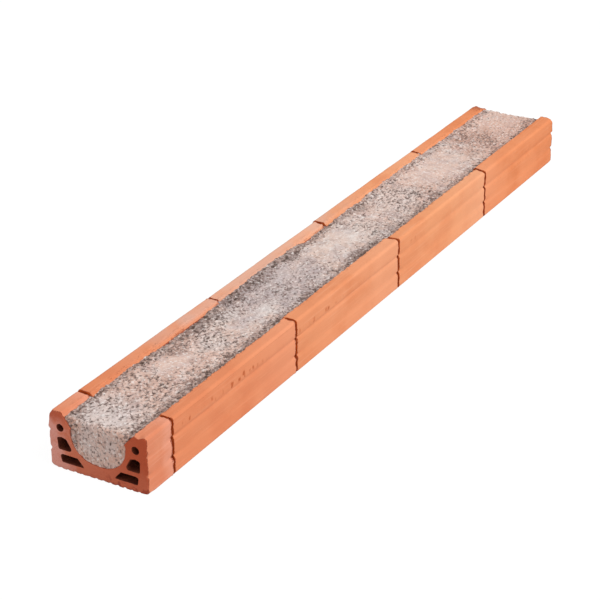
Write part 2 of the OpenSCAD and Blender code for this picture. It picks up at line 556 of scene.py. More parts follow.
@dataclass(frozen=True)
class BrokenClay:
    """The same clay where it was cut and broken: open, gritty, pink to brick red, and not dusty.

    Its grit, too, is drawn coarser than it is, to show. The heights and widths are the section's.
    """

    name: str = "broken_clay"
    pale: str = "#EAA191"
    brick: str = "#D8785A"
    deep: str = "#C05636"
    # The tone of the painted shade along the front of the foot.
    darkening: str = "#9C4030"
    grit: float = 1.6 * MM
    cloud: float = 11 * MM
    waver: float = 50 * MM
    half_width: float = 60 * MM
    lean: float = 0.25
    wing_foot: float = 50 * MM
    wing_top: float = 62 * MM
    foot: float = 32 * MM
    darkening_limit: float = 5.5 * MM
    darkening_base: float = 0.5 * MM
    darkening_side: float = -24 * MM
    relief: float = 0.5 * MM
    roughness: float = 0.92
    gloss: float = 0.2

    def mix(self) -> bpy.types.Material:
        """Mixes the broken face: paler on the side that dried first, deeper in the wings, and darker at the
        front of the foot with painted shade.
        """
        paint_box = Palette(self.name)
        tree = paint_box.tree
        split = add(tree, "SeparateXYZ", {}, {"Vector": paint_box.place})
        across, up = split.outputs["Y"], split.outputs["Z"]
        cloud = paint_box.grains(self.cloud, 3.0)
        grit = paint_box.grains(self.grit, 3.0)
        centred = add(tree, "Math", MINUS, {0: cloud, 1: 0.5}).outputs[0]
        uneven = add(tree, "Math", TIMES, {0: centred, 1: self.waver}).outputs[0]
        drying = add(tree, "Math", PLUS, {0: across, 1: uneven}).outputs[0]
        low = add(tree, "Math", PLUS, {0: up, 1: uneven}).outputs[0]
        # The pale side reaches further in at the foot than at the wing.
        lean = add(tree, "Math", TIMES, {0: up, 1: self.lean}).outputs[0]
        leaning = add(tree, "Math", MINUS, {0: drying, 1: lean}).outputs[0]
        # Painted shade darkens the foot on the front side, along the bottom edge.
        foot = add(tree, "MapRange", EASED, {
            "Value": low, "From Min": self.darkening_limit, "From Max": self.darkening_base,
        })
        front = add(tree, "MapRange", EASED, {"Value": across, "From Min": 0.0, "From Max": self.darkening_side})
        shaded_foot = add(tree, "Math", TIMES, {0: foot.outputs["Result"], 1: front.outputs["Result"]}).outputs[0]
        colour = paint_box.layered(
            self.deep,
            Coat(drying, self.brick, -self.half_width, 0.5 * self.half_width),
            Coat(low, self.brick, self.foot, 0.1 * self.foot, most=0.5),
            Coat(leaning, self.pale, 0.38 * self.half_width, 0.78 * self.half_width),
            Coat(up, self.deep, self.wing_foot, self.wing_top, most=0.75),
            Coat(shaded_foot, self.darkening, 0.0, 1.0, most=0.7),
            Coat(grit, self.deep, 0.58, 0.75, most=0.6),
        )
        return paint_box.finish(colour, grit, self.relief, self.roughness, self.gloss)


@dataclass(frozen=True)
class ShadedClay:
    """Clay in one tone that another clouds, matt and dusty: for the cells, whose dark tone is painted shade,
    for the joints' faces and for the trough.
    """

    name: str
    tone: str
    cloudy: str
    cloud: float = 9 * MM
    relief: float = 0.3 * MM
    roughness: float = 0.95
    gloss: float = 0.1

    def mix(self) -> bpy.types.Material:
        """Mixes the dark clay."""
        paint_box = Palette(self.name)
        cloud = paint_box.grains(self.cloud, 3.0)
        colour = paint_box.layered(self.tone, Coat(cloud, self.cloudy, 0.4, 0.7))
        return paint_box.finish(colour, cloud, self.relief, self.roughness, self.gloss)


@dataclass(frozen=True)
class FloatedConcrete:
    """Dry-mixed concrete floated by hand: beige laitance, grey open grain and dark crushed stone."""

    name: str = "floated_concrete"
    laitance: str = "#E0C7BB"
    paste: str = "#D5B9AD"
    shade: str = "#87716A"
    # The dark of the pits: dirt in them, and painted shade.
    pit_shade_and_dirt: str = "#57463F"
    stone: str = "#56473F"
    lime: str = "#F3EBE6"
    clay_dust: str = "#E3A88E"
    cement: str = "#B9AEB1"
    grit: float = 3.2 * MM
    chips: float = 4.8 * MM
    cloud: float = 12 * MM
    bare_cloud: float = 19.2 * MM
    relief: float = 0.6 * MM
    roughness: float = 0.94
    gloss: float = 0.2

    def mix(self) -> bpy.types.Material:
        """Mixes the concrete: open, darker and speckled where it is rough, pale where it is floated."""
        paint_box = Palette(self.name)
        tree = paint_box.tree
        rough, soil, pit, dust, grey, bloom = (
            add(tree, "Attribute", {"attribute_name": name}, {}).outputs["Fac"]
            for name in ("rough", "soil", "pit", "dust", "grey", "bloom"))
        # Each shift gives another pattern, so that the clouds and the specks don't lie on one another.
        cloud = paint_box.grains(self.cloud)
        bleached = paint_box.grains(self.cloud, shift=31 * MM)
        bare = paint_box.grains(self.bare_cloud, shift=57 * MM)
        lime = paint_box.grains(self.grit, shift=9.1 * MM)
        grit = paint_box.grains(self.grit, 2.5)
        chips = paint_box.grains(self.chips, 2.5, shift=3.7 * MM)
        # Rough and soiled places show more grit and dark stone, because the float has not closed them:
        # there a grain shows from a lower level of its pattern.
        dirt = add(tree, "Math", TIMES, {0: soil, 1: 0.45}).outputs[0]
        coarse = add(tree, "Math", PLUS, {0: rough, 1: dirt}).outputs[0]
        stones = []
        for grains, closed, give, tone in ((grit, 0.62, 0.14, self.shade), (chips, 0.70, 0.12, self.stone)):
            opened = add(tree, "Math", TIMES, {0: coarse, 1: give}).outputs[0]
            edge = add(tree, "Math", MINUS, {0: closed, 1: opened}).outputs[0]
            full = add(tree, "Math", PLUS, {0: edge, 1: give}).outputs[0]
            stones.append(Coat(grains, tone, edge, full, most=0.9))
        colour = paint_box.layered(
            self.laitance,
            Coat(rough, self.paste, 0.1, 0.8),
            Coat(bare, self.cement, 0.45, 0.65, most=0.4),
            Coat(bleached, self.lime, 0.48, 0.7, most=0.45),
            Coat(cloud, self.shade, 0.45, 0.75, most=0.35),
            Coat(soil, self.shade, 0.0, 1.5, most=0.6),
            Coat(dust, self.clay_dust),
            Coat(grey, self.cement),
            Coat(bloom, self.lime),
            Coat(lime, self.lime, 0.5, 0.72, most=0.75),
            *stones,
            # Pits darken with their depth: dirt in them, and painted shade.
            Coat(pit, self.pit_shade_and_dirt, 0.35, 1.3, most=0.8),
        )
        return paint_box.finish(colour, grit, self.relief, self.roughness, self.gloss)


# ------------------------------------------------------------------ clay shells


class ClaySlot(Enum):
    """The material slots of a shell, in order.

    They are the skin, an open end's broken face, the cells in painted shade, a joint's face, and the
    trough below the concrete's top.
    """

    SKIN = 0
    BROKEN = 1
    SOOTED = 2
    JOINT = 3
    TROUGH = 4


@dataclass(frozen=True)
class Knock:
    """A soft blow or swelling in wet clay: the points around a place, moved together."""

    place: Vector
    move: Vector
    reach: float

    def share(self, place: Vector) -> float:
        """Gives how much of the move a place takes part in."""
        return smooth((place - self.place).length, self.reach, 0.0)


@dataclass(frozen=True)
class Tears:
    """Tears that a dry die left above the upper groove: soft nicks, unevenly spaced and tall."""

    start: float = 0.0
    end: float = 0.0
    seed: float = 0.0
    strength: float = 1.0
    low: float = 45.5 * MM
    high: float = 58 * MM
    lean: float = 0.1
    lean_level: float = 46 * MM
    nick: float = 5.4 * MM
    nick_edge: Fade = Fade(-0.02, 0.35)
    cluster: float = 21 * MM
    cluster_seed: float = 4.0
    cluster_middle: float = 0.7
    cluster_swing: float = 1.1
    top: float = 49.5 * MM
    top_swing: float = 8 * MM
    top_grain: float = 9 * MM
    top_seed: float = 9.0
    top_fade: float = 5 * MM
    foot: float = 46.5 * MM
    foot_swing: float = 5 * MM
    foot_grain: float = 6 * MM
    foot_seed: float = 17.0
    foot_fade: float = 1.5 * MM

    def along(self, x: float, grain: float, seed: float) -> float:
        """Gives noise along the lintel alone, from about -1 to about 1."""
        return noise.noise(Vector((x / grain, seed, 0.0)))

    def at(self, place: Vector) -> float:
        """Gives how torn the front is at a place.

        Args:
            place: a place on the front's upper band.

        Returns:
            The share, from 0 to about 1.
        """
        if not self.start < place.x < self.end:
            return 0.0
        nicks = self.along(place.x + self.lean * (place.z - self.lean_level), self.nick, self.seed)
        cluster = self.along(place.x, self.cluster, self.cluster_seed + self.seed)
        top = self.top + self.top_swing * self.along(place.x, self.top_grain, self.top_seed)
        foot = self.foot + self.foot_swing * self.along(place.x, self.foot_grain, self.foot_seed)
        return (self.strength * self.nick_edge.at(nicks)
                * (self.cluster_middle + self.cluster_swing * cluster)
                * smooth(place.z, top + self.top_fade, top)
                * smooth(place.z, foot - self.foot_fade, foot + self.foot_fade))


@dataclass
class ClayShell:
    """One extruded channel unit, with its cells, grooves, broken rims and dragged skin."""

    number: int
    tone: str
    flushed: str
    dusty: str
    left_wing: Vector = field(default_factory=Vector)
    right_wing: Vector = field(default_factory=Vector)
    shoulder: float = 0.0
    fade: tuple[float, float] = (0.0, 1.0)
    tears: Tears = Tears()
    knocks: tuple[Knock, ...] = ()
    open_ends: tuple[bool, bool] = (False, False)

    # The cuts: their spacing across the section, along the middle, and along the two rims.
    section_pitch: float = 2.0 * MM
    length_pitch: float = 4.5 * MM
    rim_pitch: float = 1.0 * MM
    rim: float = 7.0 * MM
    finer: int = 2
    crease: float = math.radians(40)

    # The trough, from its floor to the concrete's top, and half its mouth.
    trough_floor: float = 10 * MM
    cast_level: float = 61.0 * MM
    mouth: float = 43.9 * MM

    # How the wings and the left shoulder move as they dry.
    wing_rise: Fade = Fade(53 * MM, 61 * MM)
    wing_inwards: Fade = Fade(60 * MM, 46 * MM)
    shoulder_rise: Fade = Fade(44 * MM, 60 * MM)
    shoulder_outwards: Fade = Fade(50 * MM, 58 * MM)

    # The side grooves as heights, the rounds of smoothing that wear the upper and the lower one, how far
    # out the sides begin, and the rims that keep their sharp section: less of them at an open end.
    upper_groove: tuple[float, float] = (37 * MM, 53 * MM)
    lower_groove: tuple[float, float] = (16 * MM, 32 * MM)
    groove_wear: tuple[int, int] = (95, 260)
    groove_factor: float = 0.9
    groove_edge: float = 3 * MM
    side: float = 56 * MM
    kept_rim: Fade = Fade(0.5 * MM, 6 * MM)
    kept_open_rim: Fade = Fade(0.5 * MM, 3 * MM)

    # The rims: how far in they break, gape and chip, and how much of that an open end shows.
    joint_wear: float = 0.5 * MM
    break_reach: float = 5 * MM
    break_open: float = 0.35
    chip_reach: float = 3.5 * MM
    chip_open: float = 0.55
    chip_side: Fade = Fade(57 * MM, 60 * MM)
    chip_top: Fade = Fade(62 * MM, 65 * MM)
    chip_base: Fade = Fade(2 * MM, 0.0)
    off_floor: Fade = Fade(0.2 * MM, 5 * MM)

    # The crumbled inner corners of the wings.
    corner_band: tuple[float, float] = (42.5 * MM, 48 * MM)
    corner_foot: float = 62 * MM
    corner_edge: float = 3 * MM
    corner_outside: Fade = Fade(47.5 * MM, 45 * MM)
    corner_inside: Fade = Fade(41.5 * MM, 43 * MM)
    corner_rise: Fade = Fade(61.5 * MM, 63.5 * MM)

    # The torn band of the front.
    front_skin: float = 0.6 * MM
    tear_depth: float = 0.15 * MM

    # Worn clay along the rims, painted shade and dirt along the concrete, and darker clay at the left wing's
    # far tip.
    rim_worn: Fade = Fade(2.4 * MM, 0.5 * MM)
    rim_crumb: float = 5 * MM
    rim_least: float = 0.3
    seam_inwards: Fade = Fade(44.6 * MM, 43.0 * MM)
    seam_top: Fade = Fade(64.5 * MM, 62.5 * MM)
    darkening_limit: Fade = Fade(45 * MM, 55 * MM)
    seam_patch: float = 9 * MM
    seam_most: float = 0.75
    tip_length: Fade = Fade(55 * MM, 5 * MM)
    tip_side: Fade = Fade(38 * MM, 46 * MM)
    tip_most: float = 0.62

    # The dust that the pour left on the left wing.
    pour_start: Fade = Fade(-420 * MM, -250 * MM)
    pour_end: Fade = Fade(170 * MM, 20 * MM)
    pour_side: Fade = Fade(40 * MM, 44 * MM)
    pour_top: Fade = Fade(60 * MM, 63 * MM)
    pour_most: float = 0.45

    reliefs: tuple[Relief, ...] = (
        Relief("drying_waves", 70 * MM, 0.9 * MM, Push.OUT, "off_floor", octaves=1),
        Relief("hand_marks", 18 * MM, 0.35 * MM, Push.OUT, "off_floor"),
        Relief("break_line", 16 * MM, 1.8 * MM, Push.ALONG, "rims"),
        Relief("crumbs", 2.6 * MM, 0.35 * MM, Push.ALONG, "rims"),
        Relief("chips", 6.0 * MM, -1.6 * MM, Push.OUT, "lips", contrast=1.8),
        Relief("edge_crumbs", 3.6 * MM, 1.6 * MM, Push.OUT, "inner_corners", contrast=2.2),
    )

    def __post_init__(self) -> None:
        """Finds the shell's box in the frame."""
        self.node = f"clay_shell_{self.number}"
        self.low, self.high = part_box(self.node)

    def build(self, finishes: list[bpy.types.Material]) -> bpy.types.Object:
        """Makes the dressed shell.

        Args:
            finishes: its materials, in the order of ClaySlot.

        Returns:
            The finished piece.
        """
        self.piece = copy_of(self.node, f"{self.node}_fired")
        for finish in finishes:
            self.piece.data.materials.append(finish)
        self.find_ends()
        self.sort_faces()
        self.cut_finer()
        self.shift_wings()
        self.knock_corners()
        self.mark_zones()
        self.wear_grooves()
        self.wear_joints()
        for layer in self.reliefs:
            layer.press(self.piece)
        shove(self.piece, "tears", Push.OUT, -self.tear_depth)
        hold(self.piece)
        bpy.ops.object.shade_smooth_by_angle(angle=self.crease)
        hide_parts(self.node)
        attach(self.piece, "root")
        return self.piece

    def find_ends(self) -> None:
        """Reads the plane of each end face off the mesh."""
        faces = self.piece.data.polygons
        near = max((f for f in faces if f.normal.x < -FACING), key=lambda f: f.area)
        far = max((f for f in faces if f.normal.x > FACING), key=lambda f: f.area)
        self.ends = [(f.center.copy(), f.normal.copy()) for f in (near, far)]

    def depth(self, place: Vector, end: int) -> float:
        """Gives how far inside one end's plane a place is."""
        point, normal = self.ends[end]
        return (point - place).dot(normal)

    def sort_faces(self) -> None:
        """Gives each face its slot: ends are broken clay, and what the skin can't reach, the cells, gets
        painted shade.
        """
        for face in self.piece.data.polygons:
            slot = ClaySlot.BROKEN if abs(face.normal.x) > FACING else ClaySlot.SKIN
            face.material_index = slot.value
        # The outer skin is all that hangs together with the base, up to the end faces.
        pick(self.piece, lambda face: face.center.z < self.low.z + FLUSH)
        bpy.ops.mesh.select_linked(delimit={"MATERIAL"})
        bpy.ops.object.mode_set(mode="OBJECT")
        for face in self.piece.data.polygons:
            if not face.select and face.material_index == ClaySlot.SKIN.value:
                face.material_index = ClaySlot.SOOTED.value
            if face.material_index == ClaySlot.BROKEN.value:
                end = 0 if face.normal.x < 0 else 1
                if not self.open_ends[end]:
                    face.material_index = ClaySlot.JOINT.value

    def cut_finer(self) -> None:
        """Cuts the whole shell into small faces: close together at the rims, wider in the middle."""
        pick(self.piece, lambda face: True)
        slice_up(2, steps(self.low.z, self.high.z, self.section_pitch))
        slice_up(1, steps(self.low.y, self.high.y, self.section_pitch))
        (near, near_way), (far, far_way) = self.ends
        length = (far - near).x
        rim_cuts = [self.rim_pitch * k for k in range(1, round(self.rim / self.rim_pitch) + 1)]
        middle = steps(self.rim, length - self.rim, self.length_pitch)
        # The cuts turn bit by bit from one skewed end to the other.
        for run in rim_cuts + middle + [length - cut for cut in rim_cuts]:
            share = run / length
            saw(near.lerp(far, share), (-near_way).lerp(far_way, share))
        slice_up(2, [self.cast_level])
        bpy.ops.object.mode_set(mode="OBJECT")
        for face in self.piece.data.polygons:
            if self.meets_concrete(face):
                face.material_index = ClaySlot.TROUGH.value
        split_edges(self.piece, self.runs_through_tears, self.finer)
        split_edges(self.piece, self.runs_along_corner, self.finer)

    def meets_concrete(self, face: bpy.types.MeshPolygon) -> bool:
        """Says whether a face of the skin lies in the trough, below the concrete's top."""
        place = face.center
        return (face.material_index == ClaySlot.SKIN.value and abs(place.y) < self.mouth
                and self.trough_floor < place.z < self.cast_level)

    def runs_through_tears(self, start: Vector, end: Vector) -> bool:
        """Says whether an edge runs along the torn band, where the tears need smaller faces."""
        middle = (start + end) / 2.0
        return (self.on_torn_band(middle) and self.tears.start < middle.x < self.tears.end
                and runs_along(start, end))

    def runs_along_corner(self, start: Vector, end: Vector) -> bool:
        """Says whether an edge runs along a wing's inner corner, where the crumbs need smaller faces."""
        inside, outside = self.corner_band
        middle = (start + end) / 2.0
        return (inside < abs(middle.y) < outside and middle.z > self.corner_foot
                and runs_along(start, end, self.corner_edge))

    def on_torn_band(self, place: Vector) -> bool:
        """Says whether a place is on the upper band of the front, where the clay tore."""
        return place.y < self.low.y + self.front_skin and self.tears.low < place.z < self.tears.high

    def shift_wings(self) -> None:
        """Leans each wing and the left shoulder as they dried, by pulling on them with a soft fall-off."""
        for side, name, move in ((1, "left_wing", self.left_wing), (-1, "right_wing", self.right_wing)):
            if move.length:
                zone(self.piece, name, lambda place, side=side: self.wing_share(place, side))
                carry(self.piece, name, move)
        if self.shoulder:
            zone(self.piece, "shoulder", lambda place: self.shoulder_outwards.at(place.y)
                 * self.shoulder_rise.at(place.z))
            shove(self.piece, "shoulder", Push.ACROSS, self.shoulder)

    def wing_share(self, place: Vector, side: int) -> float:
        """Gives a wing's share of its move: all at the inner ridge, and none at the cells."""
        out = place.y * side
        return self.wing_rise.at(place.z) * self.wing_inwards.at(out) if out > 0.0 else 0.0

    def knock_corners(self) -> None:
        """Knocks the corners and swells them, as handling does while the clay is wet."""
        for count, knock in enumerate(self.knocks):
            name = f"knock_{count}"
            zone(self.piece, name, knock.share)
            carry(self.piece, name, knock.move)

    def mark_zones(self) -> None:
        """Marks the zones for the reliefs, and stores what the skin's material reads."""
        for name, share in (("rims", self.rim_share), ("lips", self.lip_share), ("tears", self.torn),
                            ("inner_corners", self.corner_share)):
            zone(self.piece, name, share)
        for name, amount in (("worn_and_shaded", self.wear_and_shade), ("torn", self.torn), ("faded", self.faded),
                             ("floured", self.floured)):
            paint(self.piece, name, amount)
        zone(self.piece, "off_floor", lambda place: self.off_floor.at(place.z))

    def wear_grooves(self) -> None:
        """Rounds the grooves' edges, as the worn die leaves them; the lower groove is the softer one."""
        for name, band, rounds in (("upper_groove", self.upper_groove, self.groove_wear[0]),
                                   ("lower_groove", self.lower_groove, self.groove_wear[1])):
            zone(self.piece, name, lambda place, band=band: self.groove_share(place, *band))
            layer = self.piece.modifiers.new(name, "SMOOTH")
            layer.factor = self.groove_factor
            layer.iterations = rounds
            layer.vertex_group = name
            hold(self.piece)
            bpy.ops.object.modifier_apply(modifier=name)

    def groove_share(self, place: Vector, low: float, high: float) -> float:
        """Gives how much a place belongs to a side groove, away from the rims.

        Args:
            place: the place.
            low: the foot of the groove's band.
            high: the top of the groove's band.

        Returns:
            The share, from 0 to 1.
        """
        if abs(place.y) < self.side:
            return 0.0
        band = (smooth(place.z, low, low + self.groove_edge)
                * smooth(place.z, high, high - self.groove_edge))
        kept = [self.kept_open_rim if is_open else self.kept_rim for is_open in self.open_ends]
        return band * min(kept[end].at(self.depth(place, end)) for end in (0, 1))

    def wear_joints(self) -> None:
        """Wears each rim that meets another shell back along the lintel, so the joint gapes a little."""
        for end, name, way in ((0, "near_rim", 1), (1, "far_rim", -1)):
            if not self.open_ends[end]:
                zone(self.piece, name,
                     lambda place, end=end: smooth(self.depth(place, end), self.break_reach, 0.0))
                shove(self.piece, name, Push.ALONG, self.joint_wear * way)

    def at_rim(self, place: Vector, reach: float, open_share: float) -> float:
        """Gives how near a place is to a rim.

        Args:
            place: the place.
            reach: how far in from the rim the share ends.
            open_share: the share on a rim at an open end; at a joint it is 1.

        Returns:
            The share at the nearer rim.
        """
        shares = [open_share if is_open else 1.0 for is_open in self.open_ends]
        return max(smooth(self.depth(place, end), reach, 0.0) * shares[end] for end in (0, 1))

    def rim_share(self, place: Vector) -> float:
        """Gives how much a place belongs to a broken rim."""
        return self.at_rim(place, self.break_reach, self.break_open)

    def lip_share(self, place: Vector) -> float:
        """Gives how much a place belongs to the outer edge of a rim, which chips."""
        skin = max(self.chip_side.at(abs(place.y)), self.chip_top.at(place.z), self.chip_base.at(place.z))
        return skin * self.at_rim(place, self.chip_reach, self.chip_open)

    def corner_share(self, place: Vector) -> float:
        """Gives how much a place belongs to the inner corner of a wing."""
        out = abs(place.y)
        return self.corner_outside.at(out) * self.corner_inside.at(out) * self.corner_rise.at(place.z)

    def torn(self, place: Vector) -> float:
        """Gives how torn a place is."""
        return self.tears.at(place) if self.on_torn_band(place) else 0.0

    def faded(self, place: Vector) -> float:
        """Gives the drift of the fired tone along the shell: 0 is flushed, 0.5 is plain and 1 is dusty."""
        start, end = self.fade
        return start + (end - start) * self.depth(place, 0) / (self.depth(place, 0) + self.depth(place, 1))

    def floured(self, place: Vector) -> float:
        """Gives the dust of dry mix left on the left wing where the fill was poured."""
        poured = self.pour_start.at(place.x) * self.pour_end.at(place.x)
        return self.pour_most * poured * self.pour_side.at(place.y) * self.pour_top.at(place.z)

    def wear_and_shade(self, place: Vector) -> float:
        """Gives how much worn clay, painted shade with dirt, and darker clay show.

        Args:
            place: the place.

        Returns:
            The share, from 0 to about 1: at the rims, along the concrete and at the far left tip.
        """
        rim = max(self.rim_worn.at(self.depth(place, end)) for end in (0, 1))
        ragged = lumpy(place, self.rim_crumb, self.number)
        crumbled = rim * (self.rim_least + (1.0 - self.rim_least) * ragged)
        # Painted shade with dirt along the concrete, on the wings' inner faces.
        darkening = (self.seam_inwards.at(abs(place.y)) * self.seam_top.at(place.z)
                * self.darkening_limit.at(place.z))
        seam_shade_and_dirt = self.seam_most * darkening * lumpy(place, self.seam_patch)
        darker_tip = self.tip_length.at(self.depth(place, 1)) * self.tip_side.at(place.y)
        return max(crumbled, seam_shade_and_dirt, self.tip_most * darker_tip if self.open_ends[1] else 0.0)


# ------------------------------------------------------------------ concrete fill


@dataclass(frozen=True)
class Patch:
    """An oval place on the fill's top."""

    x: float
    y: float
    length: float
    width: float
    strength: float = 1.0
    rim: Fade = Fade(1.3, 0.5)
    waver: float = 1.1
    waver_grain: float = 14 * MM

    def at(self, place: Vector) -> float:
        """Gives the patch's share at a place, with a soft and wavering rim."""
        reach = math.hypot((place.x - self.x) / (0.5 * self.length), (place.y - self.y) / (0.5 * self.width))
        reach += self.waver * (lumpy(place, self.waver_grain, 2.0) - 0.5)
        return self.strength * self.rim.at(reach)


def strongest(patches: tuple[Patch, ...], place: Vector) -> float:
    """Gives the share of the patch that is strongest at a place."""
    return max(patch.at(place) for patch in patches)


@dataclass
class ConcreteFill:
    """The fill: cast in the channel, floated by hand, open along the clay and rough at its ends."""

    # The cuts' spacing, the top with its rim, how far the top is tucked into the wings, and how far a
    # face turns towards an end or upwards to belong there.
    pitch: float = 1.25 * MM
    level: float = 61.5 * MM
    rim: float = 3.5 * MM
    rim_full: float = 0.4
    tuck: float = 4.5 * MM
    end_tilt: float = 0.5
    top_tilt: float = 0.7
    crease: float = math.radians(60)

    # The crumbled ends, and how the far edge runs on to the clay's end, most on the right side.
    end_edge: Fade = Fade(4 * MM, 0.5 * MM)
    run_out_length: float = 5.0 * MM
    run_out_least: float = 0.35
    rightwards: Fade = Fade(40 * MM, -40 * MM)

    # The trowel's edge ran beside the wings and left them calmer.
    beside_wing: Fade = Fade(36.5 * MM, 40.5 * MM)
    calmed: float = 0.65

    # How open the surface is: in its middle, along the clay, and towards the near end.
    openness: float = 0.52
    near_more: float = 0.2
    closed_by_float: float = 0.6
    open_cloud: float = 30 * MM
    open_swing: float = 0.35
    open_least: float = 0.05
    end_open: float = 0.72
    nearwards: Fade = Fade(260 * MM, -460 * MM)
    open_edge: Fade = Fade(22 * MM, 38 * MM)
    edge_waver: float = 9 * MM
    edge_grain: float = 22 * MM
    edge_least: float = 0.85

    # How much dirt and dust lies on it.
    dirty_edge: Fade = Fade(26 * MM, 39 * MM)
    dirty_most: float = 0.95
    left_cleaner: float = 0.45
    left_clean: Fade = Fade(60 * MM, 120 * MM)
    soil_cloud: float = 12 * MM
    soil_least: float = 0.6
    soil_swing: float = 0.8
    soil_most: float = 1.5
    end_dust: float = 0.45

    float_marks: Relief = Relief("float_marks", 24 * MM, 0.8 * MM, Push.UP, "top", octaves=1)
    reliefs: tuple[Relief, ...] = (
        Relief("open_grain", 6.5 * MM, 2.6 * MM, Push.UP, "open_top"),
        Relief("pits", 3.8 * MM, -2.4 * MM, Push.UP, "open_top", contrast=2.5, middle=0.43),
        Relief("float_grain", 4.0 * MM, 0.7 * MM, Push.UP, "top"),
        Relief("crumbled", 6.0 * MM, 2.2 * MM, Push.ALONG, "ends"),
        Relief("crumbs", 2.6 * MM, 1.2 * MM, Push.ALONG, "ends"),
    )

    # Where the float closed the surface, and where it tore it open again.
    floated: tuple[Patch, ...] = (
        Patch(-0.480, 0.004, 0.030, 0.050, 0.3),
        Patch(-0.347, 0.008, 0.050, 0.036),
        Patch(-0.228, -0.010, 0.105, 0.036, 0.7),
        Patch(-0.105, 0.016, 0.050, 0.024, 0.6),
        Patch(-0.002, 0.008, 0.098, 0.052),
        Patch(0.110, 0.002, 0.060, 0.036, 0.5),
        Patch(0.270, 0.006, 0.125, 0.058),
        Patch(0.302, 0.028, 0.045, 0.020, 0.6),
        Patch(0.455, 0.002, 0.080, 0.060, 0.6),
    )
    opened: tuple[Patch, ...] = (
        Patch(-0.250, 0.000, 0.120, 0.080, 0.15),
        Patch(0.055, 0.000, 0.070, 0.070, 0.2),
        Patch(0.150, -0.002, 0.110, 0.080, 0.3),
    )
    # How high the wet mix is heaped, or sunk, as a share of heap_height.
    heap_height: float = 1.5 * MM
    heaped: tuple[Patch, ...] = (
        Patch(-0.400, 0.040, 0.110, 0.040, 0.8),
        Patch(-0.233, 0.040, 0.030, 0.040, 0.7),
        Patch(-0.182, 0.040, 0.070, 0.040, -0.8),
        Patch(-0.012, 0.040, 0.030, 0.040, -0.8),
        Patch(0.082, 0.040, 0.035, 0.040, 0.7),
        Patch(0.235, 0.040, 0.130, 0.040, 0.5),
        Patch(0.484, 0.038, 0.050, 0.040, 0.9),
    )
    # Where dirt has settled, mostly along the wings.
    soiled: tuple[Patch, ...] = (
        Patch(-0.488, 0.034, 0.060, 0.026, 0.9),
        Patch(-0.420, 0.006, 0.110, 0.036, 0.3),
        Patch(-0.375, -0.036, 0.080, 0.020, 1.4),
        Patch(-0.328, 0.022, 0.036, 0.022, 1.2),
        Patch(-0.265, 0.034, 0.080, 0.026, 1.3),
        Patch(-0.225, 0.032, 0.150, 0.024, 0.8),
        Patch(-0.183, 0.036, 0.050, 0.030, 1.5),
        Patch(-0.160, 0.000, 0.060, 0.050, 0.5),
        Patch(-0.140, 0.034, 0.080, 0.026, 1.4),
        Patch(-0.135, -0.036, 0.060, 0.020, 1.3),
        Patch(-0.104, -0.018, 0.050, 0.022, 0.6),
        Patch(-0.066, 0.036, 0.040, 0.022, 1.3),
        Patch(-0.010, -0.036, 0.080, 0.022, 1.4),
        Patch(0.070, -0.034, 0.160, 0.024, 0.7),
        Patch(0.100, 0.034, 0.060, 0.022),
        Patch(0.185, -0.034, 0.040, 0.020, 0.9),
        Patch(0.190, -0.008, 0.050, 0.040, 0.4),
        Patch(0.240, -0.024, 0.040, 0.020, 0.6),
        Patch(0.345, -0.014, 0.040, 0.028, 0.7),
        Patch(0.390, -0.002, 0.085, 0.080),
        Patch(0.418, 0.000, 0.050, 0.060, 0.6),
        Patch(0.450, -0.010, 0.120, 0.060, 0.4),
        Patch(0.475, -0.034, 0.060, 0.024, 1.3),
    )
    # Where red dust off the clay tints the surface, and where bare cement keeps it grey.
    dusted: tuple[Patch, ...] = (
        Patch(-0.370, 0.000, 0.220, 0.110, 0.2),
        Patch(0.220, 0.000, 0.240, 0.110, 0.2),
        Patch(0.420, -0.014, 0.220, 0.130, 0.4),
    )
    greyed: tuple[Patch, ...] = (
        Patch(-0.472, 0.004, 0.060, 0.080, 0.3),
        Patch(-0.145, 0.006, 0.180, 0.100, 0.5),
    )
    # Where lime has bloomed at the surface.
    bloomed: tuple[Patch, ...] = (
        Patch(-0.472, 0.002, 0.070, 0.070, 0.3),
        Patch(-0.292, -0.004, 0.050, 0.040, 0.4),
        Patch(-0.240, 0.018, 0.070, 0.022, 0.35),
        Patch(-0.194, -0.014, 0.040, 0.026, 0.3),
        Patch(0.042, -0.008, 0.060, 0.060, 0.25),
        Patch(0.156, 0.004, 0.090, 0.060, 0.3),
    )

    def __post_init__(self) -> None:
        """Finds the fill's box in the frame."""
        self.node = "concrete_fill"
        self.low, self.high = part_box(self.node)

    def build(self, finish: bpy.types.Material) -> bpy.types.Object:
        """Makes the dressed fill.

        Args:
            finish: its material.

        Returns:
            The finished piece.
        """
        self.piece = copy_of(self.node, f"{self.node}_floated")
        self.piece.data.materials.append(finish)
        self.cut_finer()
        self.roughen()
        hold(self.piece)
        bpy.ops.object.shade_smooth_by_angle(angle=self.crease)
        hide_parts(self.node)
        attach(self.piece, "root")
        return self.piece

    def shows(self, face: bpy.types.MeshPolygon) -> bool:
        """Says whether a face is on the top, the top's rim or an end, and so is cut finely."""
        return face.center.z > self.level - self.rim or self.on_end(face)

    def on_end(self, face: bpy.types.MeshPolygon) -> bool:
        """Says whether a face is on one of the two ends."""
        return abs(face.normal.x) > self.end_tilt

    def on_top(self, face: bpy.types.MeshPolygon) -> bool:
        """Says whether a face is on the top."""
        return face.center.z > self.level - self.rim and face.normal.z > self.top_tilt

    def cut_finer(self) -> None:
        """Cuts the top and the ends into small faces, and leaves what the clay hides as it is."""
        pick(self.piece, lambda face: True)
        slice_up(2, [self.level - self.rim])
        pick(self.piece, lambda face: not self.shows(face))
        bpy.ops.mesh.hide()
        slice_up(0, steps(self.low.x, self.high.x, self.pitch))
        slice_up(1, steps(self.low.y, self.high.y, self.pitch))
        pick(self.piece, lambda face: not self.on_end(face))
        bpy.ops.mesh.hide()
        slice_up(2, steps(self.low.z, self.level - self.rim, self.pitch))
        bpy.ops.mesh.reveal()
        bpy.ops.object.mode_set(mode="OBJECT")

